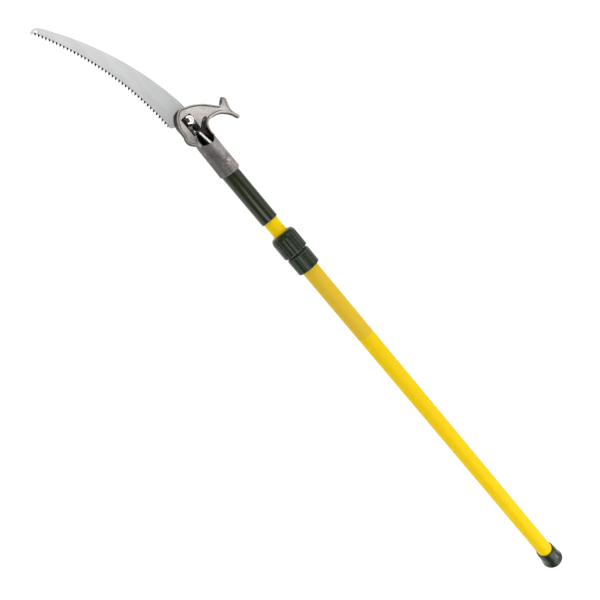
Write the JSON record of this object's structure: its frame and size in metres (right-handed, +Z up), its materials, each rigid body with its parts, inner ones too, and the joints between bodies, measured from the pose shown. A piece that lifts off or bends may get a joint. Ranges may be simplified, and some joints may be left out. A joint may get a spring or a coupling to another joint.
{
  "type": "telescoping pole saw",
  "caption": "two-section telescoping pole with a twist lock, a cast saw head with a branch hook, and a curved pull-cut pruning blade bolted on",
  "frame": {"origin": "middle of the box of the whole object with the pole pushed in, on the plane it lies on", "axes": "+X along the pole to the saw head, +Y to the toothed side of the blade, +Z up, square to the flat of the blade"},
  "size_m": [1.633, 0.2133, 0.0572],
  "materials": {
    "fibreglass_yellow": "yellow pigmented fibreglass tube, gloss",
    "cap_vinyl": "dark green-black vinyl, lightly grained",
    "sleeve_vinyl": "dark green-black shrunk sleeve, gloss",
    "lock_plastic": "dark green moulded plastic, gloss",
    "cast_aluminium": "cast, warm grey, satin grain",
    "blade_steel": "ground saw steel, light satin",
    "zinc_steel": "bright zinc plate",
    "black_steel": "black oxide",
    "nylon": "natural white moulded nylon",
    "washer_plastic": "black moulded plastic",
    "dowel_wood": "plain turned dowel"
  },
  "bodies": {
    "outer_pole": {"end_cap": "cap_vinyl", "outer_tube": "fibreglass_yellow", "lock_base": "lock_plastic"},
    "lock_carrier": {"split_collet": "nylon", "thrust_washer": "washer_plastic"},
    "nut": {"lock_nut": "lock_plastic"},
    "inner_pole": {"inner_tube": "fibreglass_yellow", "guide_plug": "nylon", "guide_pin": "zinc_steel", "stop_ring": "nylon", "core_plug": "dowel_wood", "grip_sleeve": "sleeve_vinyl", "saw_head": "cast_aluminium", "neck_screws": "zinc_steel", "blade": "blade_steel", "blade_bolt_front": "zinc_steel", "blade_bolt_rear": "black_steel", "blade_nut_front": "zinc_steel", "blade_nut_rear": "black_steel", "hex_seat_rear": "zinc_steel", "lock_washers": "zinc_steel", "blade_washers": "zinc_steel"}
  },
  "joints": [
    {"name": "pole_extend", "type": "slide", "parent": "outer_pole", "child": "inner_pole", "axis": [1, 0, 0], "range_m": [-0.03, 0.7895]},
    {"name": "lock_advance", "type": "slide", "parent": "outer_pole", "child": "lock_carrier", "axis": [1, 0, 0], "range_m": [0, 0.004]},
    {"name": "lock_turn", "type": "hinge", "parent": "lock_carrier", "child": "nut", "pos_m": [0.236, -0.0136, 0.0286], "axis": [1, 0, 0], "range_deg": [0, 181]}
  ],
  "couplings": [
    {"joint": "lock_turn", "follows": "lock_advance", "rad_per_m": 785.4}
  ]
}
